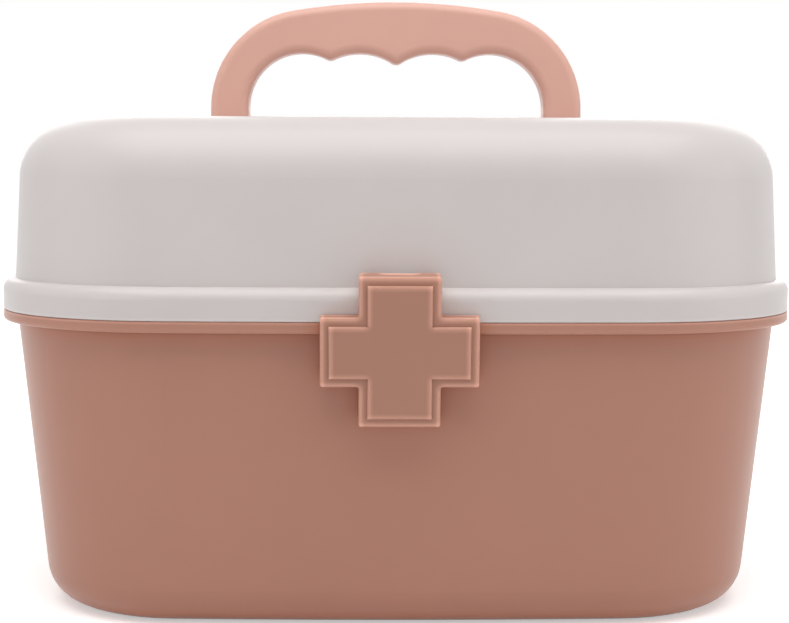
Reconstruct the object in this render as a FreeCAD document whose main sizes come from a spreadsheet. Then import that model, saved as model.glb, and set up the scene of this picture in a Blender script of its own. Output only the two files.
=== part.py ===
import FreeCAD, Part
import math
import os
import Sketcher
from FreeCAD import Placement, Rotation, Vector

# A first aid box with a carrying handle, in millimetres.
# The frame: +X to the right, +Y to the back, +Z up, z = 0 is the floor under the middle.
# The plan outline is eight arcs: a long flat one in front and behind, a rounder one at
# each end, and a corner arc between them. Every wall follows that outline at its own inset.

DRIVING_SIZES = [
    # Plan outline of the widest part, the flange at the seam
    ("width", 280.0),
    ("depth", 190.0),
    ("front_radius", 1750.0),
    ("side_radius", 240.0),
    ("corner_radius", 64.0),
    # Tub
    ("seam_height", 103.0),
    ("wall", 2.4),
    ("floor_thickness", 2.6),
    ("rim_height", 3.8),
    ("rim_round", 1.2),
    ("seam_round", 0.45),
    ("wall_inset", 5.0),
    ("tub_draft", 5.8),
    ("bottom_round", 14.0),
    ("foot_inset", 33.0),
    ("foot_recess", 0.6),
    ("lip_height", 5.0),
    ("lip_wall", 1.8),
    ("lip_clearance", 0.9),
    # Ribs inside the tub that carry the tray
    ("rib_thickness", 3.0),
    ("rib_reach", 13.6),
    ("front_rib_place", 62.0),
    ("side_rib_place", 38.0),
    # Lid
    ("lid_rise", 65.3),
    ("lid_round", 21.0),
    ("skirt_height", 10.7),
    ("skirt_round", 4.1),
    ("dome_inset", 4.2),
    ("dome_draft", 3.1),
    # Recess in the lid that takes the folded handle
    ("recess_side_gap", 0.5),
    ("recess_front_gap", 1.4),
    ("recess_finger_room", 9.0),
    ("recess_floor_gap", 0.6),
    ("recess_corner", 4.5),
    ("recess_edge_round", 1.2),
    ("boss_radius", 5.2),
    ("boss_height", 1.6),
    # Handle
    ("handle_width", 135.8),
    ("handle_rise", 43.6),
    ("handle_thickness", 14.0),
    ("handle_round", 3.2),
    ("leg_width", 13.9),
    ("leg_end_round", 6.4),
    ("crown_radius", 225.0),
    ("shoulder_radius", 36.0),
    ("grip_thickness", 18.5),
    ("inner_corner_radius", 19.6),
    ("finger_radius", 22.0),
    ("finger_place", 13.4),
    ("finger_tip_radius", 3.0),
    ("handle_axis_drop", 7.4),
    ("handle_pin_radius", 2.5),
    ("handle_pin_bite", 12.0),
    ("handle_pin_head_radius", 4.2),
    ("handle_pin_head_height", 1.4),
    # Latch
    ("cross_width", 50.2),
    ("cross_height", 48.4),
    ("cross_arm_width", 25.9),
    ("cross_arm_height", 22.4),
    ("cross_thickness", 7.0),
    ("cross_corner", 0.8),
    ("cross_round", 0.7),
    ("plateau_inset", 2.75),
    ("plateau_rise", 0.9),
    ("plateau_round", 0.6),
    ("latch_lean", 7.0),
    ("latch_axis_inset", 0.6),
    ("latch_axis_rise", 13.1),
    ("latch_barrel_radius", 2.6),
    ("latch_barrel_width", 24.0),
    ("latch_pin_radius", 0.8),
    ("latch_wall", 2.2),
    ("latch_core_depth", 4.4),
    ("hook_height", 2.6),
    ("latch_gap", 0.35),
    ("lug_width", 10.0),
    ("lug_radius", 1.6),
    ("seat_inset", 8.6),
    ("notch_depth", 3.7),
    # Rear hinges
    ("hinge_end_room", 72.0),
    ("hinge_reach", 3.5),
    ("hinge_barrel_radius", 3.2),
    ("hinge_pin_radius", 1.5),
    ("tub_knuckle_width", 14.0),
    ("lid_knuckle_width", 8.0),
    ("knuckle_gap", 0.4),
    # Lift-out tray
    ("tray_drop", 5.0),
    ("tray_flange", 1.8),
    ("tray_flange_inset", 10.8),
    ("tray_wall", 1.6),
    ("tray_wall_inset", 14.2),
    ("tray_depth", 38.0),
    ("tray_bottom_round", 5.0),
    ("tray_divider_drop", 3.0),
    ("tray_pocket_width", 92.0),
    ("grip_slot_length", 64.0),
    ("grip_slot_height", 17.0),
    ("grip_slot_round", 8.2),
    ("grip_bar_height", 6.0),
    # Fits
    ("pin_fit", 0.05),
    ("pin_chamfer", 0.4),
    ("part_gap", 0.3),
    # How far a raised feature is sunk into its carrier, and how far a cut runs past a face
    ("join_depth", 0.6),
    ("cut_margin", 1.0),
]

doc = FreeCAD.newDocument("first_aid_box")
sheet = doc.addObject("Spreadsheet::Sheet", "sizes")


class Size:
    """A length or an angle: its number, and the formula that ties it to the sheet."""

    def __init__(self, value, formula=None):
        self.value = float(value)
        self.formula = formula or repr(float(value))

    def join(self, sign, other, value):
        return Size(value, f"({self.formula} {sign} {as_size(other).formula})")

    def __add__(self, other):
        return self.join("+", other, self.value + as_size(other).value)

    def __sub__(self, other):
        return self.join("-", other, self.value - as_size(other).value)

    def __mul__(self, other):
        return self.join("*", other, self.value * as_size(other).value)

    def __truediv__(self, other):
        return self.join("/", other, self.value / as_size(other).value)

    def __neg__(self):
        return Size(-self.value, f"(-1 * {self.formula})")


def as_size(number):
    """A plain number as a Size, and a Size as it is."""
    return number if isinstance(number, Size) else Size(number)


def tan(angle):
    """Tangent of an angle in degrees."""
    return Size(math.tan(math.radians(angle.value)), f"tan({angle.formula})")


def root(square):
    """Square root of a size."""
    return Size(math.sqrt(square.value), f"sqrt({square.formula})")


class Sizes:
    """The driving sizes by name."""


d = Sizes()
for row, (alias, number) in enumerate(DRIVING_SIZES, 1):
    sheet.set(f"A{row}", alias)
    sheet.set(f"B{row}", str(number))
    sheet.setAlias(f"B{row}", alias)
    setattr(d, alias, Size(number, f"sizes.{alias}"))
doc.recompute()

ZERO = Size(0.0)
NEAR = 0.01

# Places that several pieces share
half_width = d.width / 2
half_depth = d.depth / 2
seam = d.seam_height
rim_underside = seam - d.rim_height
lid_top = seam + d.lid_rise
ledge_top = seam + d.skirt_height
ledge_underside = ledge_top - d.wall
handle_half = d.handle_width / 2
handle_half_thickness = d.handle_thickness / 2
handle_axis = lid_top - d.handle_axis_drop
handle_top = lid_top + d.handle_rise
leg_end = handle_axis - handle_half_thickness
recess_half = handle_half + d.recess_side_gap
recess_back = handle_top - handle_axis + d.recess_finger_room
recess_front = -(handle_half_thickness + d.recess_front_gap)
recess_floor = leg_end - d.recess_floor_gap
hinge_place = half_width - d.hinge_end_room
hinge_axis_y = half_depth + d.hinge_reach
latch_axis_y = -(half_depth - d.latch_axis_inset)
latch_axis_z = seam + d.latch_axis_rise
tray_seat = seam - d.tray_drop
tray_floor = tray_seat + d.tray_flange - d.tray_depth


def depth_at(x):
    """Half depth of the plan outline at a distance x from the middle."""
    return half_depth - d.front_radius + root(d.front_radius * d.front_radius - x * x)


def width_at(y):
    """Half width of the plan outline at a distance y from the middle."""
    return half_width - d.side_radius + root(d.side_radius * d.side_radius - y * y)


def corner_centre():
    """Centre of the front right corner arc, which touches the front arc and the side arc."""
    front = Vector(0, d.front_radius.value - half_depth.value, 0)
    side = Vector(half_width.value - d.side_radius.value, 0, 0)
    front_reach = d.front_radius.value - d.corner_radius.value
    side_reach = d.side_radius.value - d.corner_radius.value
    span = side - front
    along = (front_reach**2 - side_reach**2 + span.Length**2) / (2 * span.Length)
    across = math.sqrt(front_reach**2 - along**2)
    unit = span / span.Length
    return front + unit * along + Vector(-unit.y, unit.x, 0) * across


def new_body(name):
    """An empty body with its label."""
    body = doc.addObject("PartDesign::Body", name)
    body.Label = name
    return body


def new_sketch(body, name, plane, offset=None, turn=None):
    """A sketch on one of the body's own planes, moved along it or turned in it."""
    support = next(f for f in body.Origin.OriginFeatures if f.Role == plane)
    sketch = body.newObject("Sketcher::SketchObject", name)
    sketch.AttachmentSupport = [(support, "")]
    sketch.MapMode = "FlatFace"
    if turn is not None:
        sketch.AttachmentOffset = Placement(Vector(), Rotation(Vector(0, 0, 1), turn.value))
        sketch.setExpression("AttachmentOffset.Rotation.Angle", turn.formula)
    if offset is not None:
        sketch.setExpression("AttachmentOffset.Base.z", offset.formula)
    return sketch


def rule(sketch, *terms):
    """Add a geometric constraint."""
    return sketch.addConstraint(Sketcher.Constraint(*terms))


def measure(sketch, size, *terms):
    """Add a dimension tied to the sheet."""
    index = rule(sketch, *terms, size.value)
    sketch.setExpression(f"Constraints[{index}]", size.formula)


def locate(sketch, geometry, vertex, x, y):
    """Fix a point of the sketch at x, y from its origin."""
    for kind, axis, place in (("DistanceX", -2, x), ("DistanceY", -1, y)):
        if abs(place.value) < NEAR:
            rule(sketch, "PointOnObject", geometry, vertex, axis)
        elif place.value > 0:
            measure(sketch, place, kind, -1, 1, geometry, vertex)
        else:
            measure(sketch, -place, kind, geometry, vertex, -1, 1)


def add_line(sketch, start, end):
    return sketch.addGeometry(Part.LineSegment(start, end), False)


def add_arc(sketch, centre, radius, start, end):
    """An arc that runs anticlockwise from one angle to another, in radians."""
    ring = Part.Circle(centre, Vector(0, 0, 1), radius)
    return sketch.addGeometry(Part.ArcOfCircle(ring, start, end), False)


def add_polygon(sketch, corners):
    """A closed run of straight lines through corners given as pairs of sizes."""
    points = [Vector(x.value, y.value, 0) for x, y in corners]
    count = len(points)
    for number in range(count):
        add_line(sketch, points[number], points[(number + 1) % count])
    for number in range(count):
        rule(sketch, "Coincident", number, 2, (number + 1) % count, 1)
    for number, (x, y) in enumerate(corners):
        locate(sketch, number, 1, x, y)


def add_circle(sketch, x, y, radius):
    ring = Part.Circle(Vector(x.value, y.value, 0), Vector(0, 0, 1), radius.value)
    index = sketch.addGeometry(ring, False)
    measure(sketch, radius, "Radius", index)
    locate(sketch, index, 3, x, y)


def add_rounded_rectangle(sketch, left, right, low, high, radius):
    """A rectangle whose four corners are arcs."""
    quarter = math.pi / 2
    centres = [
        (right - radius, high - radius),
        (left + radius, high - radius),
        (left + radius, low + radius),
        (right - radius, low + radius),
    ]
    points = [Vector(x.value, y.value, 0) for x, y in centres]
    arcs = []
    for number, point in enumerate(points):
        arcs.append(add_arc(sketch, point, radius.value, number * quarter, (number + 1) * quarter))
    for number, arc in enumerate(arcs):
        following = (number + 1) % 4
        reach = Vector(math.cos((number + 1) * quarter), math.sin((number + 1) * quarter), 0)
        reach = reach * radius.value
        line = add_line(sketch, points[number] + reach, points[following] + reach)
        rule(sketch, "Tangent", arc, 2, line, 1)
        rule(sketch, "Tangent", line, 2, arcs[following], 1)
    for arc, (x, y) in zip(arcs, centres):
        locate(sketch, arc, 3, x, y)
    measure(sketch, radius, "Radius", arcs[0])
    for arc in arcs[1:]:
        rule(sketch, "Equal", arcs[0], arc)


def add_outline(sketch, inset):
    """The eight-arc plan outline, moved inwards by an inset."""
    corner = corner_centre()
    front_gap = d.front_radius - half_depth
    side_gap = d.side_radius - half_width
    side_turn = math.atan2(-corner.y, corner.x + side_gap.value)
    front_turn = math.atan2(corner.x, front_gap.value - corner.y)
    side = (d.side_radius - inset, Vector(-side_gap.value, 0, 0))
    front = (d.front_radius - inset, Vector(0, -front_gap.value, 0))
    round_corner = (d.corner_radius - inset, Vector(corner.x, -corner.y, 0))
    half_turn = math.pi
    turns = [
        (side, 1, 1, -side_turn, side_turn),
        (round_corner, 1, 1, side_turn, half_turn / 2 - front_turn),
        (front, 1, 1, half_turn / 2 - front_turn, half_turn / 2 + front_turn),
        (round_corner, -1, 1, half_turn / 2 + front_turn, half_turn - side_turn),
        (side, -1, 1, half_turn - side_turn, half_turn + side_turn),
        (round_corner, -1, -1, half_turn + side_turn, 1.5 * half_turn - front_turn),
        (front, 1, -1, 1.5 * half_turn - front_turn, 1.5 * half_turn + front_turn),
        (round_corner, 1, -1, 1.5 * half_turn + front_turn, 2 * half_turn - side_turn),
    ]
    for (radius, centre), x_sign, y_sign, start, end in turns:
        add_arc(sketch, Vector(centre.x * x_sign, centre.y * y_sign, 0), radius.value, start, end)
    for number in range(8):
        rule(sketch, "Tangent", number, 2, (number + 1) % 8, 1)
    locate(sketch, 0, 3, -side_gap, ZERO)
    rule(sketch, "Symmetric", 0, 3, 4, 3, -1, 1)
    locate(sketch, 2, 3, ZERO, -front_gap)
    rule(sketch, "Symmetric", 2, 3, 6, 3, -1, 1)
    for number, (radius, centre) in enumerate((side, round_corner, front)):
        measure(sketch, radius, "Radius", number)
    for first, second in ((0, 4), (2, 6), (1, 3), (1, 5), (1, 7)):
        rule(sketch, "Equal", first, second)


def outline_sketch(body, name, height, inset):
    sketch = new_sketch(body, name, "XY_Plane", height)
    add_outline(sketch, inset)
    return sketch


def extrude(body, kind, name, sketch, length, draft, side):
    """A pad or a pocket. Side is along, against or both, as seen from the sketch's normal."""
    before = body.Shape.Volume if body.Tip else 0.0
    feature = body.newObject(kind, name)
    feature.Profile = sketch
    feature.Length = length.value
    feature.setExpression("Length", length.formula)
    if side == "both":
        feature.SideType = "Symmetric"
    else:
        feature.Reversed = side != "along"
    if draft is not None:
        feature.setExpression("TaperAngle", (-draft).formula)
    doc.recompute()
    if abs(body.Shape.Volume - before) < NEAR:
        raise ValueError(f"{name} changes nothing")
    return feature


def pad(body, name, sketch, length, draft=None, side="along"):
    """Material. It narrows away from its sketch by its draft."""
    return extrude(body, "PartDesign::Pad", name, sketch, length, draft, side)


def pocket(body, name, sketch, length, draft=None, side="along"):
    """A cut. It narrows away from its sketch by its draft."""
    turned = {"along": "against", "against": "along", "both": "both"}[side]
    return extrude(body, "PartDesign::Pocket", name, sketch, length, draft, turned)


def round_edges(body, name, radius, chosen):
    """Round the edges of the body that a test picks."""
    base = body.Tip
    edges = [f"Edge{n}" for n, edge in enumerate(base.Shape.Edges, 1) if chosen(edge.BoundBox)]
    feature = body.newObject("PartDesign::Fillet", name)
    feature.Base = (base, edges)
    feature.Radius = radius.value
    feature.setExpression("Radius", radius.formula)
    doc.recompute()
    if not edges or feature.Shape.isNull():
        raise ValueError(f"{name} fails on {len(edges)} edges")
    return feature


def level(height):
    """A test for edges that lie flat at a height."""
    return lambda box: abs(box.ZMin - height.value) < NEAR and abs(box.ZMax - height.value) < NEAR


def upright(y):
    """A test for edges that lie in the vertical plane at y."""
    return lambda box: abs(box.YMin - y.value) < NEAR and abs(box.YMax - y.value) < NEAR


def side_pad(body, name, corners, start, width):
    """A plate across the body, from a side view in Y and Z."""
    sketch = new_sketch(body, name + "_view", "YZ_Plane", start)
    add_polygon(sketch, corners)
    return pad(body, name, sketch, width)


def side_cut(body, name, corners, start, width):
    """A cut across the body, from a side view in Y and Z."""
    sketch = new_sketch(body, name + "_view", "YZ_Plane", start)
    add_polygon(sketch, corners)
    return pocket(body, name, sketch, width)


def cross_bore(body, name, y, z, radius, start, length):
    """A round hole along X."""
    sketch = new_sketch(body, name + "_view", "YZ_Plane", start)
    add_circle(sketch, y, z, radius)
    return pocket(body, name, sketch, length)


def rectangle(left, right, low, high):
    return [(left, low), (right, low), (right, high), (left, high)]


def add_tray_ribs(body):
    """Eight tapering ribs on the inside of the tub. The tray's flange rests on their tops."""
    wall_middle = d.wall_inset + d.wall / 2
    top_inset = wall_middle + (rim_underside - tray_seat) * tan(d.tub_draft)
    foot = rim_underside - (d.rib_reach - wall_middle) / tan(d.tub_draft)
    places = []
    for across in (-1, 1):
        for along in (-1, 1):
            front_edge = depth_at(d.front_rib_place)
            side_edge = width_at(d.side_rib_place)
            places.append(("YZ_Plane", d.front_rib_place * across, front_edge, along))
            places.append(("XZ_Plane", d.side_rib_place * across, side_edge, along))
    for number, (plane, place, edge, sign) in enumerate(places, 1):
        sketch = new_sketch(body, f"rib_view_{number}", plane, place)
        corners = [
            ((edge - top_inset) * sign, tray_seat),
            ((edge - d.rib_reach) * sign, tray_seat),
            ((edge - d.rib_reach) * sign, foot),
        ]
        add_polygon(sketch, corners)
        pad(body, f"rib_{number}", sketch, d.rib_thickness, side="both")


def add_knuckle(body, name, start, width, sign):
    """A hinge barrel on a short web. Sign is +1 for a web above the seam, -1 below it."""
    barrel = new_sketch(body, name + "_barrel_view", "YZ_Plane", start)
    add_circle(barrel, hinge_axis_y, seam, d.hinge_barrel_radius)
    pad(body, name + "_barrel", barrel, width)
    root_y = depth_at(hinge_place) - d.wall / 2
    near = seam + d.knuckle_gap * sign
    far = seam + d.hinge_barrel_radius * sign
    corners = rectangle(root_y, hinge_axis_y, near, far)
    side_pad(body, name + "_web", corners, start, width)


def make_base_tub():
    """The lower half: a drafted tub with a rim, a locating lip and hinge knuckles."""
    body = new_body("base_tub")
    pad(body, "rim", outline_sketch(body, "rim_plan", rim_underside, ZERO), d.rim_height)
    round_edges(body, "rim_lower_edge", d.rim_round, level(rim_underside))
    round_edges(body, "rim_seam_edge", d.seam_round, level(seam))
    plan = outline_sketch(body, "wall_plan", rim_underside, d.wall_inset)
    pad(body, "wall", plan, rim_underside, d.tub_draft, "against")

    lip_inset = d.wall + d.lip_clearance
    pad(body, "lip", outline_sketch(body, "lip_plan", seam, lip_inset), d.lip_height)
    plan = outline_sketch(body, "lip_inner_plan", seam, lip_inset + d.lip_wall)
    pocket(body, "lip_inside", plan, d.lip_height, side="along")
    mouth_inset = d.wall_inset + d.wall - d.rim_height * tan(d.tub_draft)
    plan = outline_sketch(body, "inner_plan", seam, mouth_inset)
    pocket(body, "inside", plan, seam - d.floor_thickness, d.tub_draft, "against")
    inner_round = d.bottom_round - d.wall
    round_edges(body, "inner_bottom_edge", inner_round, level(d.floor_thickness))
    round_edges(body, "bottom_edge", d.bottom_round, level(ZERO))

    plan = outline_sketch(body, "foot_plan", ZERO, d.foot_inset)
    pocket(body, "foot_panel", plan, d.foot_recess, side="along")
    add_tray_ribs(body)

    for side, place in (("left", -hinge_place), ("right", hinge_place)):
        start = place - d.tub_knuckle_width / 2
        add_knuckle(body, f"{side}_knuckle", start, d.tub_knuckle_width, -1)
        bore = d.hinge_pin_radius + d.pin_fit
        cross_bore(body, f"{side}_bore", hinge_axis_y, seam, bore, start, d.tub_knuckle_width)
    return body


def add_lid_dome(body):
    """The skirt over the seam, the ledge, and the dome with its soft top edge, hollowed."""
    plan = outline_sketch(body, "skirt_plan", seam, ZERO)
    pad(body, "skirt", plan, d.skirt_height)
    round_edges(body, "ledge_edge", d.skirt_round, level(ledge_top))
    round_edges(body, "skirt_seam_edge", d.seam_round, level(seam))
    dome_height = d.lid_rise - d.skirt_height
    plan = outline_sketch(body, "dome_plan", ledge_top, d.dome_inset)
    pad(body, "dome", plan, dome_height, d.dome_draft)

    plan = outline_sketch(body, "skirt_inner_plan", seam, d.wall)
    pocket(body, "skirt_inside", plan, d.skirt_height - d.wall, side="along")
    inner_inset = d.dome_inset + d.wall - d.wall * tan(d.dome_draft)
    plan = outline_sketch(body, "dome_inner_plan", ledge_underside, inner_inset)
    pocket(body, "dome_inside", plan, dome_height, d.dome_draft, "along")
    round_edges(body, "inner_dome_edge", d.lid_round - d.wall, level(lid_top - d.wall))
    round_edges(body, "dome_edge", d.lid_round, level(lid_top))


def add_handle_recess(body):
    """The well in the lid that takes the folded handle, with a boss round each pin."""
    plan = new_sketch(body, "well_plan", "XY_Plane", lid_top - d.wall / 2)
    outer = recess_half + d.wall
    back = recess_back + d.wall
    front = recess_front - d.wall
    add_rounded_rectangle(plan, -outer, outer, front, back, d.recess_corner + d.wall)
    height = lid_top - recess_floor + d.wall / 2
    pad(body, "well", plan, height, side="against")

    plan = new_sketch(body, "recess_plan", "XY_Plane", lid_top)
    add_rounded_rectangle(
        plan, -recess_half, recess_half, recess_front, recess_back, d.recess_corner
    )
    pocket(body, "recess", plan, lid_top - recess_floor, side="against")
    round_edges(body, "recess_edge", d.recess_edge_round, level(lid_top))

    for side, sign in (("left", -1), ("right", 1)):
        face = (recess_half + d.wall / 2) * sign
        view = new_sketch(body, f"{side}_boss_view", "YZ_Plane", face)
        add_circle(view, ZERO, handle_axis, d.boss_radius)
        way = "along" if sign > 0 else "against"
        pad(body, f"{side}_boss", view, d.wall / 2 + d.boss_height, side=way)
    bore = d.handle_pin_radius + d.pin_fit
    reach = recess_half + d.wall + d.boss_height + d.cut_margin
    cross_bore(body, "handle_pin_bore", ZERO, handle_axis, bore, -reach, reach * 2)


def add_latch_seat(body):
    """The block, notch and lug on the front of the lid that carry the latch."""
    notch_half = d.latch_barrel_width / 2 + d.latch_gap
    seat_half = notch_half + d.wall
    seat_low = seam + d.lip_height + d.lip_clearance
    inner = -(half_depth - d.seat_inset)
    outer = -(half_depth - d.wall / 2)
    corners = rectangle(outer, inner, seat_low, ledge_top - d.wall / 2)
    side_pad(body, "latch_seat", corners, -seat_half, seat_half * 2)

    notch_low = latch_axis_z - d.latch_barrel_radius - d.part_gap
    front = -(half_depth + d.cut_margin)
    back = -(half_depth - d.notch_depth)
    corners = rectangle(front, back, notch_low, ledge_top + d.cut_margin)
    side_cut(body, "latch_notch", corners, -notch_half, notch_half * 2)

    # The lug leans forward from the notch's floor to the pin
    start = -(d.lug_width / 2)
    root_low = notch_low - d.join_depth
    corners = [
        (outer, root_low),
        (back, root_low),
        (latch_axis_y + d.lug_radius, latch_axis_z),
        (latch_axis_y - d.lug_radius, latch_axis_z),
    ]
    side_pad(body, "lug_web", corners, start, d.lug_width)
    view = new_sketch(body, "lug_barrel_view", "YZ_Plane", start)
    add_circle(view, latch_axis_y, latch_axis_z, d.lug_radius)
    pad(body, "lug_barrel", view, d.lug_width)
    bore = d.latch_pin_radius + d.pin_fit
    cross_bore(body, "lug_bore", latch_axis_y, latch_axis_z, bore, start, d.lug_width)


def make_lid_shell():
    """The upper half: skirt, ledge and dome, with the handle's recess and the hinge knuckles."""
    body = new_body("lid_shell")
    add_lid_dome(body)
    add_handle_recess(body)
    add_latch_seat(body)
    reach = d.tub_knuckle_width / 2 + d.knuckle_gap
    for side, place in (("left", -hinge_place), ("right", hinge_place)):
        outer_start = place + reach
        inner_start = place - reach - d.lid_knuckle_width
        add_knuckle(body, f"{side}_outer_knuckle", outer_start, d.lid_knuckle_width, 1)
        add_knuckle(body, f"{side}_inner_knuckle", inner_start, d.lid_knuckle_width, 1)
        bore = d.hinge_pin_radius + d.pin_fit
        whole = (reach + d.lid_knuckle_width) * 2
        cross_bore(body, f"{side}_bore", hinge_axis_y, seam, bore, inner_start, whole)
    return body


def handle_side(sketch, sign, crown, centre_tip):
    """One leg, shoulder, inner corner and finger hollow of the handle's outline."""
    outer = handle_half * sign
    inner = (handle_half - d.leg_width) * sign
    hollow_top = handle_top - d.grip_thickness
    shoulder = math.sqrt(
        (d.crown_radius.value - d.shoulder_radius.value) ** 2
        - (handle_half.value - d.shoulder_radius.value) ** 2
    )
    crown_centre = Vector(0, handle_top.value - d.crown_radius.value, 0)
    shoulder_centre = Vector(
        (handle_half.value - d.shoulder_radius.value) * sign, crown_centre.y + shoulder, 0
    )
    corner_x = inner - d.inner_corner_radius * sign
    corner_y = hollow_top - d.inner_corner_radius
    corner = Vector(corner_x.value, corner_y.value, 0)
    finger_x = d.finger_place * sign
    finger_y = hollow_top - d.finger_radius
    finger = Vector(finger_x.value, finger_y.value, 0)
    # The tip between two hollows is a small circle that touches both
    corner_reach = d.inner_corner_radius.value + d.finger_tip_radius.value
    finger_reach = d.finger_radius.value + d.finger_tip_radius.value
    span = corner - finger
    along = (finger_reach**2 - corner_reach**2 + span.Length**2) / (2 * span.Length)
    up = math.sqrt(finger_reach**2 - along**2)
    unit = span / span.Length
    normal = Vector(-unit.y, unit.x, 0) * sign
    tip = finger + unit * along + normal * up

    def toward(start, end):
        return math.atan2(end.y - start.y, end.x - start.x)

    def anticlockwise(first, second):
        """The two angles in the order that draws the arc on this side."""
        low, high = (first, second) if sign > 0 else (second, first)
        return (low, high if high > low else high + 2 * math.pi)

    side_angle = 0.0 if sign > 0 else math.pi
    angles = anticlockwise(side_angle, toward(crown_centre, shoulder_centre))
    shoulder_arc = add_arc(sketch, shoulder_centre, d.shoulder_radius.value, *angles)
    outer_leg = add_line(
        sketch, Vector(outer.value, leg_end.value, 0), Vector(outer.value, shoulder_centre.y, 0)
    )
    foot = add_line(
        sketch, Vector(inner.value, leg_end.value, 0), Vector(outer.value, leg_end.value, 0)
    )
    inner_leg = add_line(
        sketch, Vector(inner.value, corner.y, 0), Vector(inner.value, leg_end.value, 0)
    )
    angles = anticlockwise(side_angle, toward(corner, tip))
    corner_arc = add_arc(sketch, corner, d.inner_corner_radius.value, *angles)
    angles = anticlockwise(toward(tip, finger), toward(tip, corner))
    tip_arc = add_arc(sketch, tip, d.finger_tip_radius.value, *angles)
    middle_tip = Vector(0, centre_tip, 0)
    angles = anticlockwise(toward(finger, tip), toward(finger, middle_tip))
    finger_arc = add_arc(sketch, finger, d.finger_radius.value, *angles)

    # An anticlockwise arc starts at vertex 1 on the right side and at vertex 2 on the left
    first, last = (1, 2) if sign > 0 else (2, 1)
    rule(sketch, "Tangent", outer_leg, 2, shoulder_arc, first)
    rule(sketch, "Tangent", shoulder_arc, last, crown, first)
    rule(sketch, "Coincident", outer_leg, 1, foot, 2)
    rule(sketch, "Coincident", foot, 1, inner_leg, 2)
    rule(sketch, "Tangent", inner_leg, 1, corner_arc, first)
    rule(sketch, "Tangent", corner_arc, last, tip_arc, last)
    rule(sketch, "Tangent", tip_arc, first, finger_arc, first)
    locate(sketch, foot, 2, outer, leg_end)
    locate(sketch, foot, 1, inner, leg_end)
    rule(sketch, "Vertical", outer_leg)
    rule(sketch, "Vertical", inner_leg)
    measure(sketch, d.shoulder_radius, "Radius", shoulder_arc)
    measure(sketch, d.inner_corner_radius, "Radius", corner_arc)
    measure(sketch, d.finger_tip_radius, "Radius", tip_arc)
    measure(sketch, d.finger_radius, "Radius", finger_arc)
    measure(sketch, corner_y, "DistanceY", -1, 1, corner_arc, 3)
    locate(sketch, finger_arc, 3, finger_x, finger_y)
    return finger_arc, last


def make_handle():
    """The carrying handle: an arched bar with four finger hollows, on two legs."""
    body = new_body("handle")
    sketch = new_sketch(body, "handle_view", "XZ_Plane")
    crown_centre = Vector(0, handle_top.value - d.crown_radius.value, 0)
    reach = handle_half.value - d.shoulder_radius.value
    lean = math.asin(reach / (d.crown_radius.value - d.shoulder_radius.value))
    upward = math.pi / 2
    crown = add_arc(sketch, crown_centre, d.crown_radius.value, upward - lean, upward + lean)
    finger_reach = d.finger_radius.value + d.finger_tip_radius.value
    tip_rise = math.sqrt(finger_reach**2 - d.finger_place.value**2)
    tip_height = handle_top.value - d.grip_thickness.value - d.finger_radius.value + tip_rise
    right_finger, right_end = handle_side(sketch, 1, crown, tip_height)
    left_finger, left_end = handle_side(sketch, -1, crown, tip_height)
    tip_angle = math.atan2(tip_rise, d.finger_place.value)
    tip_arc = add_arc(
        sketch,
        Vector(0, tip_height, 0),
        d.finger_tip_radius.value,
        math.pi + tip_angle,
        2 * math.pi - tip_angle,
    )
    rule(sketch, "Tangent", left_finger, left_end, tip_arc, 1)
    rule(sketch, "Tangent", tip_arc, 2, right_finger, right_end)
    measure(sketch, d.finger_tip_radius, "Radius", tip_arc)
    top = sketch.addGeometry(Part.Point(Vector(0, handle_top.value, 0)), True)
    rule(sketch, "PointOnObject", top, 1, crown)
    locate(sketch, top, 1, ZERO, handle_top)
    rule(sketch, "PointOnObject", crown, 3, -2)
    measure(sketch, d.crown_radius, "Radius", crown)
    pad(body, "arch", sketch, d.handle_thickness, side="both")

    round_edges(
        body,
        "leg_ends",
        d.leg_end_round,
        lambda box: level(leg_end)(box) and abs(box.YMax - box.YMin) < NEAR,
    )
    faces = (upright(handle_half_thickness), upright(-handle_half_thickness))
    round_edges(body, "soft_edges", d.handle_round, lambda box: faces[0](box) or faces[1](box))

    for side, sign in (("left", -1), ("right", 1)):
        start = handle_half * sign
        if sign > 0:
            start = start - d.handle_pin_bite
        bore = d.handle_pin_radius + d.pin_fit
        name = f"{side}_pin_bore"
        cross_bore(body, name, ZERO, handle_axis, bore, start, d.handle_pin_bite)
    return body


def cross_corners(half_span, half_height, half_arm, half_bar, middle):
    """The twelve corners of an upright cross, anticlockwise."""
    quadrant = [(half_span, half_bar), (half_arm, half_bar), (half_arm, half_height)]
    corners = [(x, middle + y) for x, y in quadrant]
    corners += [(-x, middle + y) for x, y in reversed(quadrant)]
    corners += [(-x, middle - y) for x, y in quadrant]
    corners += [(x, middle - y) for x, y in reversed(quadrant)]
    return corners


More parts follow.
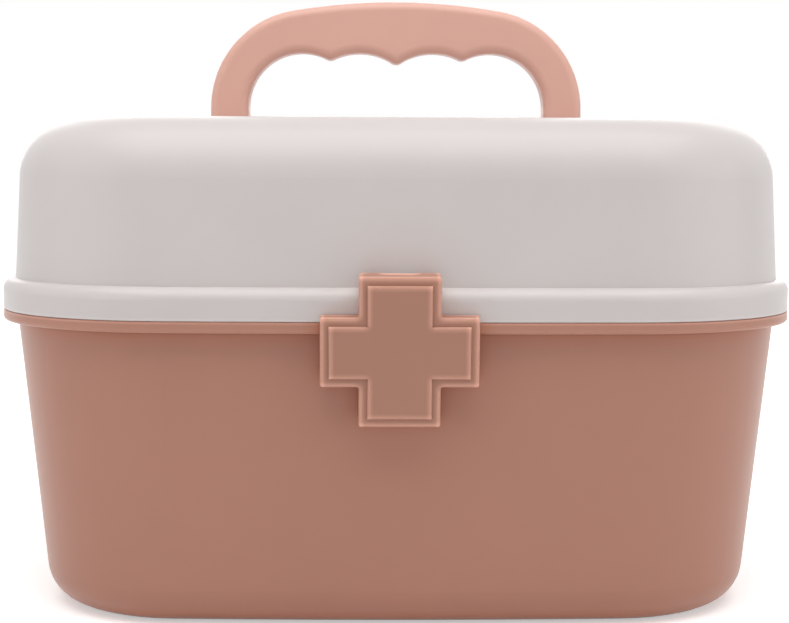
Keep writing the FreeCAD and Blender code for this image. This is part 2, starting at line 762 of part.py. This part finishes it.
def make_latch_cross():
    """The cross-shaped latch. Its own frame stands on the hinge axis, upright with the plate,
    and leans back as a whole so that its foot follows the tub's wall."""
    body = new_body("latch_cross")
    top = d.latch_barrel_radius
    half_span = d.cross_width / 2
    half_height = d.cross_height / 2
    half_arm = d.cross_arm_width / 2
    half_bar = d.cross_arm_height / 2
    middle = top - half_height
    front = -d.cross_thickness

    view = new_sketch(body, "cross_view", "XZ_Plane")
    add_polygon(view, cross_corners(half_span, half_height, half_arm, half_bar, middle))
    pad(body, "cross", view, d.cross_thickness)
    depth = d.cross_thickness.value
    round_edges(
        body,
        "cross_corners",
        d.cross_corner,
        lambda box: abs(box.YMax - box.YMin - depth) < NEAR,
    )
    round_edges(body, "cross_edge", d.cross_round, upright(front))
    view = new_sketch(body, "plateau_view", "XZ_Plane", d.cross_thickness - d.join_depth)
    inset = d.plateau_inset
    add_polygon(
        view,
        cross_corners(
            half_span - inset, half_height - inset, half_arm - inset, half_bar - inset, middle
        ),
    )
    pad(body, "plateau", view, d.plateau_rise + d.join_depth)
    round_edges(body, "plateau_edge", d.plateau_round, upright(front - d.plateau_rise))

    # Room for the flange at the seam, square to the box and not to the leaning plate.
    # What is left under the rim is the hook.
    view = new_sketch(body, "flange_room_view", "YZ_Plane", -half_span, -d.latch_lean)
    flange_face = -d.latch_axis_inset - d.latch_gap
    flange_low = rim_underside - latch_axis_z - d.part_gap
    corners = rectangle(flange_face, d.cross_thickness, flange_low, top + d.cut_margin)
    add_polygon(view, corners)
    pocket(body, "flange_room", view, d.cross_width)

    start = -(d.latch_barrel_width / 2)
    barrel = new_sketch(body, "barrel_view", "YZ_Plane", start)
    add_circle(barrel, ZERO, ZERO, d.latch_barrel_radius)
    pad(body, "barrel", barrel, d.latch_barrel_width)

    # This slot parts the barrel into two knuckles. The lid's lug stands in it, and swings
    # from below to behind as the latch opens.
    room = d.lug_radius + d.part_gap
    low_room = d.latch_barrel_radius + d.lug_radius
    corners = [
        (-(room + d.latch_gap), -low_room),
        (low_room, -low_room),
        (low_room, top + d.cut_margin),
        (-d.latch_axis_inset, top + d.cut_margin),
        (-d.latch_axis_inset, room),
        (-(room + d.latch_gap), room),
    ]
    width = d.lug_width + d.part_gap * 2
    side_cut(body, "lug_room", corners, -(width / 2), width)
    bore = d.latch_pin_radius + d.pin_fit
    cross_bore(body, "pin_bore", ZERO, ZERO, bore, start, d.latch_barrel_width)

    # The back is hollow below the hook, as a moulded latch is
    core_top = flange_low - d.hook_height
    bar_low = middle - half_bar + d.latch_wall
    foot = middle - half_height + d.latch_wall
    wide = half_span - d.latch_wall
    narrow = half_arm - d.latch_wall
    view = new_sketch(body, "core_view", "XZ_Plane", -d.cut_margin)
    corners = [
        (wide, core_top),
        (-wide, core_top),
        (-wide, bar_low),
        (-narrow, bar_low),
        (-narrow, foot),
        (narrow, foot),
        (narrow, bar_low),
        (wide, bar_low),
    ]
    add_polygon(view, corners)
    pocket(body, "core", view, d.latch_core_depth + d.cut_margin, side="along")

    body.Placement = Placement(Vector(), Rotation(Vector(1, 0, 0), d.latch_lean.value))
    body.setExpression("Placement.Rotation.Angle", d.latch_lean.formula)
    body.setExpression("Placement.Base.y", latch_axis_y.formula)
    body.setExpression("Placement.Base.z", latch_axis_z.formula)
    return body


def make_pin(name, radius, length, x, y, z, head_radius=None, head_height=None, turned=False):
    """A pin along X with chamfered ends, and a head on its outer end where one is given."""
    body = new_body(name)
    view = new_sketch(body, "pin_view", "XY_Plane")
    chamfer = d.pin_chamfer
    corners = [(ZERO, ZERO), (ZERO, radius - chamfer), (chamfer, radius)]
    if head_radius is None:
        corners += [(length - chamfer, radius), (length, radius - chamfer), (length, ZERO)]
    else:
        end = length + head_height
        corners += [
            (length, radius),
            (length, head_radius),
            (end - chamfer, head_radius),
            (end, head_radius - chamfer),
            (end, ZERO),
        ]
    add_polygon(view, corners)
    turning = body.newObject("PartDesign::Revolution", "turning")
    turning.Profile = view
    turning.ReferenceAxis = (view, ["H_Axis"])
    turning.Angle = 360
    doc.recompute()
    if turned:
        body.Placement = Placement(Vector(), Rotation(Vector(0, 0, 1), 180))
    body.setExpression("Placement.Base.x", x.formula)
    body.setExpression("Placement.Base.y", y.formula)
    body.setExpression("Placement.Base.z", z.formula)
    return body


def make_pins():
    """Two hinge pins, two handle pins and the latch pin."""
    pins = []
    hinge_span = d.tub_knuckle_width + (d.lid_knuckle_width + d.knuckle_gap) * 2
    hinge_length = hinge_span - d.part_gap * 2
    for side, place in (("left", -hinge_place), ("right", hinge_place)):
        name = f"hinge_pin_{side}"
        start = place - hinge_length / 2
        pin = make_pin(name, d.hinge_pin_radius, hinge_length, start, hinge_axis_y, seam)
        pins.append(pin)

    boss_face = recess_half + d.wall + d.boss_height
    inner_end = handle_half - d.handle_pin_bite + d.part_gap
    for side, sign in (("left", -1), ("right", 1)):
        pin = make_pin(
            f"handle_pin_{side}",
            d.handle_pin_radius,
            boss_face - inner_end,
            inner_end * sign,
            ZERO,
            handle_axis,
            d.handle_pin_head_radius,
            d.handle_pin_head_height,
            turned=sign < 0,
        )
        pins.append(pin)

    length = d.latch_barrel_width - d.part_gap * 2
    start = -(length / 2)
    pins.append(make_pin("latch_pin", d.latch_pin_radius, length, start, latch_axis_y, latch_axis_z))
    return pins


def tray_inside(height):
    """Inset of the middle of the tray's wall at a height."""
    return d.tray_wall_inset + d.tray_wall / 2 + (tray_seat - height) * tan(d.tub_draft)


def add_tray_dividers(body):
    """One long divider, and cross dividers that part the front into three and the back into two."""
    top = tray_seat + d.tray_flange - d.tray_divider_drop
    low = tray_floor + d.tray_wall / 2
    half = d.tray_wall / 2
    view = new_sketch(body, "long_divider_view", "XZ_Plane")
    ends = [half_width - tray_inside(low), half_width - tray_inside(top)]
    corners = [(-ends[0], low), (ends[0], low), (ends[1], top), (-ends[1], top)]
    add_polygon(view, corners)
    pad(body, "long_divider", view, d.tray_wall, side="both")

    slot = new_sketch(body, "grip_slot_view", "XZ_Plane")
    slot_half = d.grip_slot_length / 2
    slot_top = top - d.grip_bar_height
    slot_low = slot_top - d.grip_slot_height
    add_rounded_rectangle(slot, -slot_half, slot_half, slot_low, slot_top, d.grip_slot_round)
    pocket(body, "grip_slot", slot, d.tray_wall * 2, side="both")

    places = [(-(d.tray_pocket_width / 2), -1), (d.tray_pocket_width / 2, -1), (ZERO, 1)]
    for number, (place, sign) in enumerate(places, 1):
        edge = depth_at(place)
        corners = [
            (ZERO, low),
            ((edge - tray_inside(low)) * sign, low),
            ((edge - tray_inside(top)) * sign, top),
            (ZERO, top),
        ]
        start = place - half
        side_pad(body, f"cross_divider_{number}", corners, start, d.tray_wall)


def make_inner_tray():
    """The lift-out tray: its flange rests on the tub's ribs."""
    body = new_body("inner_tray")
    flange_top = tray_seat + d.tray_flange
    plan = outline_sketch(body, "flange_plan", tray_seat, d.tray_flange_inset)
    pad(body, "flange", plan, d.tray_flange)
    plan = outline_sketch(body, "tray_wall_plan", tray_seat, d.tray_wall_inset)
    pad(body, "tray_wall", plan, tray_seat - tray_floor, d.tub_draft, "against")
    round_edges(body, "tray_bottom_edge", d.tray_bottom_round, level(tray_floor))
    inset = d.tray_wall_inset + d.tray_wall - d.tray_flange * tan(d.tub_draft)
    plan = outline_sketch(body, "tray_inner_plan", flange_top, inset)
    pocket(body, "tray_inside", plan, d.tray_depth - d.tray_wall, d.tub_draft, "against")
    inner_round = d.tray_bottom_round - d.tray_wall
    round_edges(body, "tray_inner_edge", inner_round, level(tray_floor + d.tray_wall))
    add_tray_dividers(body)
    return body


def check(parts):
    """Stop if any object failed to build or a sub-part isn't one valid solid."""
    for item in doc.Objects:
        if "Invalid" in item.State or "Error" in item.State:
            raise ValueError(f"{item.Name} failed: {item.State}")
        if item.isDerivedFrom("Sketcher::SketchObject") and item.solve() != 0:
            raise ValueError(f"{item.Name} can't be solved")
    for part in parts:
        shape = part.Shape
        if shape.isNull() or not shape.isValid() or len(shape.Solids) != 1:
            raise ValueError(f"{part.Label} isn't one valid solid")


def main():
    parts = [
        make_base_tub(),
        make_lid_shell(),
        make_handle(),
        make_latch_cross(),
        make_inner_tray(),
    ]
    parts += make_pins()
    doc.recompute()
    check(parts)
    os.makedirs("parts", exist_ok=True)
    for part in parts:
        part.Shape.exportStep(f"parts/{part.Label}.step")
        box = part.Shape.BoundBox
        low = (round(box.XMin, 2), round(box.YMin, 2), round(box.ZMin, 2))
        high = (round(box.XMax, 2), round(box.YMax, 2), round(box.ZMax, 2))
        print(part.Label, "volume", round(part.Shape.Volume), "from", low, "to", high)


main()
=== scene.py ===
import math

import bpy
from mathutils import Matrix, Vector

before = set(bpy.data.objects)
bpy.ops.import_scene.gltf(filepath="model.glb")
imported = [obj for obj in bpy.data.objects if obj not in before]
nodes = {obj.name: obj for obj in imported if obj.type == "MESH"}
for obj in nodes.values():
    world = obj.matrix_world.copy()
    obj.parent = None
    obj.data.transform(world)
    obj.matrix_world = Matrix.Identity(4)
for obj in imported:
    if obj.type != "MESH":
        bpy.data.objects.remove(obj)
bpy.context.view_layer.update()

# Camera, fitted to the photo. Lengths in metres, angles in radians.
CAMERA_DISTANCE = 0.600
CAMERA_SIDE = -0.0095
CAMERA_HEIGHT = 0.1516
CAMERA_PITCH = -0.0893
CAMERA_ROLL = 0.0042
FOCAL_LENGTH_PX = 1610.6
IMAGE_SHIFT_PX = (0.6, 0.6)
IMAGE_WIDTH_PX = 789
SENSOR_WIDTH = 36.0

# Plastic colours, linear
TUB_PINK = (0.465, 0.226, 0.163)
LID_WHITE = (0.650, 0.598, 0.583)
HANDLE_PINK = (0.745, 0.425, 0.345)
LATCH_PINK = (0.415, 0.192, 0.128)
TRAY_WHITE = (0.680, 0.655, 0.620)
STEEL_GREY = (0.560, 0.560, 0.570)

# Size of the mottling and of the fine grain that moulded plastic has, per metre
MOTTLE_SCALE = 24.0
GRAIN_SCALE = 2200.0

# Radius that the corners show, and width of the painted highlight, a paler line along edges that
# stands in for light catching them and coming through them
EDGE_ROUND = 0.0005
PAINTED_HIGHLIGHT_WIDTH = 0.0011

# Reach of the painted shade, a deeper colour in corners and a dark line in seams, and what each
# leaves of a colour's red, green and blue
PAINTED_CORNER_SHADE_REACH = 0.006
PAINTED_CORNER_SHADE_SHARE = (1.00, 0.72, 0.50)
PAINTED_SEAM_SHADE_REACH = 0.0012
PAINTED_SEAM_SHADE_SHARE = (0.42, 0.38, 0.36)


def new_node(tree, kind, **settings):
    """A shader node with its settings. A setting that is an input's name fills that input."""
    node = tree.nodes.new(kind)
    for name, value in settings.items():
        if hasattr(node, name):
            setattr(node, name, value)
        else:
            node.inputs[name.replace("_", " ")].default_value = value
    return node


def free_share(tree, reach, inside):
    """How much of the surroundings within reach is free: of the air, or with inside of the solid."""
    node = new_node(tree, "ShaderNodeAmbientOcclusion", inside=inside, samples=5, Distance=reach)
    return node.outputs["AO"]


def blend_where(tree, under, colour, free, fullest, weight=1.0):
    """Mix a colour over another where less is free. At fullest it has its whole weight."""
    amount = new_node(tree, "ShaderNodeMapRange", From_Min=1.0, From_Max=fullest, To_Max=weight)
    tree.links.new(free, amount.inputs["Value"])
    mix = new_node(tree, "ShaderNodeMix", data_type="RGBA")
    mix.inputs[7].default_value = (*colour, 1.0)
    tree.links.new(amount.outputs["Result"], mix.inputs["Factor"])
    tree.links.new(under, mix.inputs[6])
    return mix.outputs[2]


def spare_top_edges_from_highlight(tree, free, reach):
    """The free share, but 1 within reach of edges that face up, so that the painted highlight is left
    off them, as they lie in shade.
    """
    rounded = new_node(tree, "ShaderNodeBevel", samples=4, Radius=reach)
    parts = new_node(tree, "ShaderNodeSeparateXYZ")
    tree.links.new(rounded.outputs["Normal"], parts.inputs["Vector"])
    upward = new_node(tree, "ShaderNodeMapRange", From_Min=0.05, From_Max=0.30)
    tree.links.new(parts.outputs["Z"], upward.inputs["Value"])
    most = new_node(tree, "ShaderNodeMath", operation="MAXIMUM")
    tree.links.new(free, most.inputs[0])
    tree.links.new(upward.outputs["Result"], most.inputs[1])
    return most.outputs["Value"]


def scaled(colour, share):
    """A colour with each of its parts scaled."""
    return tuple(min(1.0, part * factor) for part, factor in zip(colour, share))


def plastic(name, colour, roughness=0.34, shine=0.5, rounding=EDGE_ROUND, highlight_gain=1.2,
            highlight_width=PAINTED_HIGHLIGHT_WIDTH, highlight_top_edges=True, corner_shade=0.0, seam_shade=0.0):
    """Moulded plastic: a base colour with faint mottling, a painted highlight along edges, painted
    shade that deepens corners and darkens seams, a fine grain and slightly uneven gloss."""
    material = bpy.data.materials.new(name)
    material.use_nodes = True
    tree = material.node_tree
    shader = tree.nodes["Principled BSDF"]
    place = new_node(tree, "ShaderNodeTexCoord")

    mottle = new_node(tree, "ShaderNodeTexNoise", Scale=MOTTLE_SCALE, Detail=3.0, Roughness=0.55)
    tree.links.new(place.outputs["Object"], mottle.inputs["Vector"])
    tint = new_node(tree, "ShaderNodeMix", data_type="RGBA")
    tint.inputs[6].default_value = (*scaled(colour, (0.96, 0.96, 0.96)), 1.0)
    tint.inputs[7].default_value = (*scaled(colour, (1.04, 1.04, 1.04)), 1.0)
    tree.links.new(mottle.outputs["Fac"], tint.inputs["Factor"])
    shown = tint.outputs[2]

    # Painted highlight: a paler colour along edges, as if light caught them and came through them
    painted_highlight = tuple(part + (highlight_gain - 1.0) / 8.0 for part in scaled(colour, (highlight_gain, highlight_gain, highlight_gain)))
    highlight_share = free_share(tree, highlight_width, True)
    if not highlight_top_edges:
        highlight_share = spare_top_edges_from_highlight(tree, highlight_share, highlight_width)
    shown = blend_where(tree, shown, painted_highlight, highlight_share, 0.5)
    # Painted shade: a deeper, more saturated colour in corners and under overhangs, where shade falls
    if corner_shade:
        corner_shade_colour = scaled(colour, PAINTED_CORNER_SHADE_SHARE)
        shown = blend_where(tree, shown, corner_shade_colour, free_share(tree, PAINTED_CORNER_SHADE_REACH, False), 0.2, corner_shade)
    # Painted shade: a dark line in seams between parts, where the gap lies in shadow
    if seam_shade:
        seam_shade_colour = scaled(colour, PAINTED_SEAM_SHADE_SHARE)
        shown = blend_where(tree, shown, seam_shade_colour, free_share(tree, PAINTED_SEAM_SHADE_REACH, False), 0.3, seam_shade)
    tree.links.new(shown, shader.inputs["Base Color"])

    gloss = new_node(tree, "ShaderNodeMapRange")
    gloss.inputs["To Min"].default_value = roughness - 0.04
    gloss.inputs["To Max"].default_value = roughness + 0.04
    tree.links.new(mottle.outputs["Fac"], gloss.inputs["Value"])
    tree.links.new(gloss.outputs["Result"], shader.inputs["Roughness"])

    fine = new_node(tree, "ShaderNodeTexNoise", Scale=GRAIN_SCALE, Detail=2.0)
    tree.links.new(place.outputs["Object"], fine.inputs["Vector"])
    rounded = new_node(tree, "ShaderNodeBevel", samples=4, Radius=rounding)
    bump = new_node(tree, "ShaderNodeBump", Strength=0.10, Distance=0.00005)
    tree.links.new(fine.outputs["Fac"], bump.inputs["Height"])
    tree.links.new(rounded.outputs["Normal"], bump.inputs["Normal"])
    tree.links.new(bump.outputs["Normal"], shader.inputs["Normal"])

    shader.inputs["IOR"].default_value = 1.49
    shader.inputs["Specular IOR Level"].default_value = shine
    return material


def steel(name):
    """Plain drawn wire for the pins."""
    material = bpy.data.materials.new(name)
    material.use_nodes = True
    tree = material.node_tree
    shader = tree.nodes["Principled BSDF"]
    place = new_node(tree, "ShaderNodeTexCoord")
    stretch = new_node(tree, "ShaderNodeMapping")
    stretch.inputs["Scale"].default_value = (40.0, 4000.0, 4000.0)
    streaks = new_node(tree, "ShaderNodeTexNoise", Scale=1.0, Detail=4.0)
    tree.links.new(place.outputs["Object"], stretch.inputs["Vector"])
    tree.links.new(stretch.outputs["Vector"], streaks.inputs["Vector"])
    ramp = new_node(tree, "ShaderNodeMapRange")
    ramp.inputs["To Min"].default_value = 0.22
    ramp.inputs["To Max"].default_value = 0.40
    tree.links.new(streaks.outputs["Fac"], ramp.inputs["Value"])
    tree.links.new(ramp.outputs["Result"], shader.inputs["Roughness"])
    tint = new_node(tree, "ShaderNodeMix", data_type="RGBA")
    tint.inputs[6].default_value = (*(c * 0.85 for c in STEEL_GREY), 1.0)
    tint.inputs[7].default_value = (*STEEL_GREY, 1.0)
    tree.links.new(streaks.outputs["Fac"], tint.inputs["Factor"])
    tree.links.new(tint.outputs[2], shader.inputs["Base Color"])
    shader.inputs["Metallic"].default_value = 1.0
    return material


def give(material, *names):
    """Put one material on the named nodes."""
    for name in names:
        mesh = nodes[name].data
        mesh.materials.clear()
        mesh.materials.append(material)


def paint():
    """The material of every piece."""
    # The tub gets a painted highlight on edges that do not face up, and painted shade in corners and
    # seams
    tub = plastic("tub_plastic", TUB_PINK, shine=0.25, rounding=0.0002, highlight_gain=1.7, highlight_top_edges=False,
                  corner_shade=1.0, seam_shade=1.0)
    give(tub, "base_tub")
    give(plastic("lid_plastic", LID_WHITE, shine=0.3), "lid_shell")
    give(plastic("handle_plastic", HANDLE_PINK, shine=0.4, highlight_gain=1.0), "handle")
    # The latch gets a wider, stronger painted highlight along its edges and weaker painted shade
    latch = plastic("latch_plastic", LATCH_PINK, highlight_gain=1.9, highlight_width=0.0019, corner_shade=0.5, seam_shade=0.5)
    give(latch, "latch_cross")
    give(plastic("tray_plastic", TRAY_WHITE, roughness=0.45), "inner_tray")
    give(plastic("handle_pin_plastic", TRAY_WHITE), "handle_pin_left", "handle_pin_right")
    give(steel("pin_steel"), "hinge_pin_left", "hinge_pin_right", "latch_pin")


def seen_directly(tree):
    """A value of 1 for the camera and for what mirrors or lets through the view, else 0."""
    path = new_node(tree, "ShaderNodeLightPath")
    first = new_node(tree, "ShaderNodeMath", operation="MAXIMUM")
    tree.links.new(path.outputs["Is Camera Ray"], first.inputs[0])
    tree.links.new(path.outputs["Is Glossy Ray"], first.inputs[1])
    both = new_node(tree, "ShaderNodeMath", operation="MAXIMUM")
    tree.links.new(first.outputs["Value"], both.inputs[0])
    tree.links.new(path.outputs["Is Transmission Ray"], both.inputs[1])
    return both.outputs["Value"]


def make_floor(near=0.45, far=0.85):
    """A plain white floor, so wide that the camera sees no edge of it. Where it is seen it glows,
    and more so away from the lamps, so that only the box's shadow is darker than the background."""
    reach = 30.0
    mesh = bpy.data.meshes.new("floor")
    corners = [(-reach, -reach, 0.0), (reach, -reach, 0.0), (reach, reach, 0.0), (-reach, reach, 0.0)]
    mesh.from_pydata(corners, [], [(0, 1, 2, 3)])
    floor = bpy.data.objects.new("floor", mesh)
    bpy.context.scene.collection.objects.link(floor)
    material = bpy.data.materials.new("floor_paper")
    material.use_nodes = True
    tree = material.node_tree
    shader = tree.nodes["Principled BSDF"]
    place = new_node(tree, "ShaderNodeTexCoord")
    noise = new_node(tree, "ShaderNodeTexNoise", Scale=3.0, Detail=2.0)
    tree.links.new(place.outputs["Object"], noise.inputs["Vector"])
    tint = new_node(tree, "ShaderNodeMix", data_type="RGBA")
    tint.inputs[6].default_value = (0.86, 0.86, 0.86, 1.0)
    tint.inputs[7].default_value = (0.89, 0.89, 0.89, 1.0)
    tree.links.new(noise.outputs["Fac"], tint.inputs["Factor"])
    tree.links.new(tint.outputs[2], shader.inputs["Base Color"])
    shader.inputs["Roughness"].default_value = 0.9
    shader.inputs["Specular IOR Level"].default_value = 0.0
    shader.inputs["Emission Color"].default_value = (1.0, 1.0, 1.0, 1.0)
    distance = new_node(tree, "ShaderNodeVectorMath", operation="LENGTH")
    tree.links.new(place.outputs["Object"], distance.inputs[0])
    glow = new_node(tree, "ShaderNodeMapRange", From_Min=0.3, From_Max=2.0, To_Min=near, To_Max=far)
    tree.links.new(distance.outputs["Value"], glow.inputs["Value"])
    strength = new_node(tree, "ShaderNodeMath", operation="MULTIPLY")
    tree.links.new(glow.outputs["Result"], strength.inputs[0])
    tree.links.new(seen_directly(tree), strength.inputs[1])
    tree.links.new(strength.outputs["Value"], shader.inputs["Emission Strength"])
    mesh.materials.append(material)
    return floor


def make_world(lit=0.23, seen=1.0):
    """Even studio light, and a white background where the view passes the floor."""
    world = bpy.data.worlds.new("studio")
    world.use_nodes = True
    tree = world.node_tree
    tree.nodes.clear()
    soft = new_node(tree, "ShaderNodeBackground", Strength=lit)
    white = new_node(tree, "ShaderNodeBackground", Strength=seen)
    soft.inputs["Color"].default_value = (1.0, 1.0, 1.0, 1.0)
    white.inputs["Color"].default_value = (1.0, 1.0, 1.0, 1.0)
    mix = new_node(tree, "ShaderNodeMixShader")
    out = new_node(tree, "ShaderNodeOutputWorld")
    tree.links.new(seen_directly(tree), mix.inputs["Fac"])
    tree.links.new(soft.outputs["Background"], mix.inputs[1])
    tree.links.new(white.outputs["Background"], mix.inputs[2])
    tree.links.new(mix.outputs["Shader"], out.inputs["Surface"])
    bpy.context.scene.world = world


def add_lamp(name, place, target, width, height, power):
    """A soft rectangular lamp aimed at a point."""
    light = bpy.data.lights.new(name, "AREA")
    light.shape = "RECTANGLE"
    light.size = width
    light.size_y = height
    light.energy = power
    lamp = bpy.data.objects.new(name, light)
    lamp.location = place
    lamp.rotation_mode = "QUATERNION"
    lamp.rotation_quaternion = (Vector(target) - Vector(place)).to_track_quat("-Z", "Y")
    bpy.context.scene.collection.objects.link(lamp)
    return lamp


def light_studio():
    """A wide lamp over the box, a little to the front, and weaker ones at its sides and behind it."""
    middle = (0.0, 0.0, 0.12)
    add_lamp("top_lamp", (0.0, -0.35, 1.2), middle, 1.7, 1.1, 14.8)
    add_lamp("left_lamp", (-1.2, -0.5, 0.3), middle, 1.1, 0.8, 3.5)
    add_lamp("right_lamp", (1.2, -0.5, 0.3), middle, 1.1, 0.8, 3.8)
    add_lamp("back_lamp", (0.0, 1.3, 0.6), middle, 1.6, 0.8, 6.5)


def make_camera():
    camera = bpy.data.cameras.new("camera")
    camera.sensor_width = SENSOR_WIDTH
    camera.lens = FOCAL_LENGTH_PX / IMAGE_WIDTH_PX * SENSOR_WIDTH
    camera.shift_x = -IMAGE_SHIFT_PX[0] / IMAGE_WIDTH_PX
    camera.shift_y = IMAGE_SHIFT_PX[1] / IMAGE_WIDTH_PX
    camera.clip_start = 0.01
    camera.clip_end = 200.0
    eye = bpy.data.objects.new("camera", camera)
    aim = Matrix.Rotation(math.atan2(CAMERA_SIDE, CAMERA_DISTANCE), 4, "Z")
    tilt = Matrix.Rotation(math.pi / 2 + CAMERA_PITCH, 4, "X")
    roll = Matrix.Rotation(CAMERA_ROLL, 4, "Z")
    place = Matrix.Translation((CAMERA_SIDE, -CAMERA_DISTANCE, CAMERA_HEIGHT))
    eye.matrix_world = place @ aim @ tilt @ roll
    bpy.context.scene.collection.objects.link(eye)
    bpy.context.scene.camera = eye


paint()
make_floor()
make_world()
light_studio()
make_camera()
bpy.context.scene.view_settings.view_transform = "Standard"
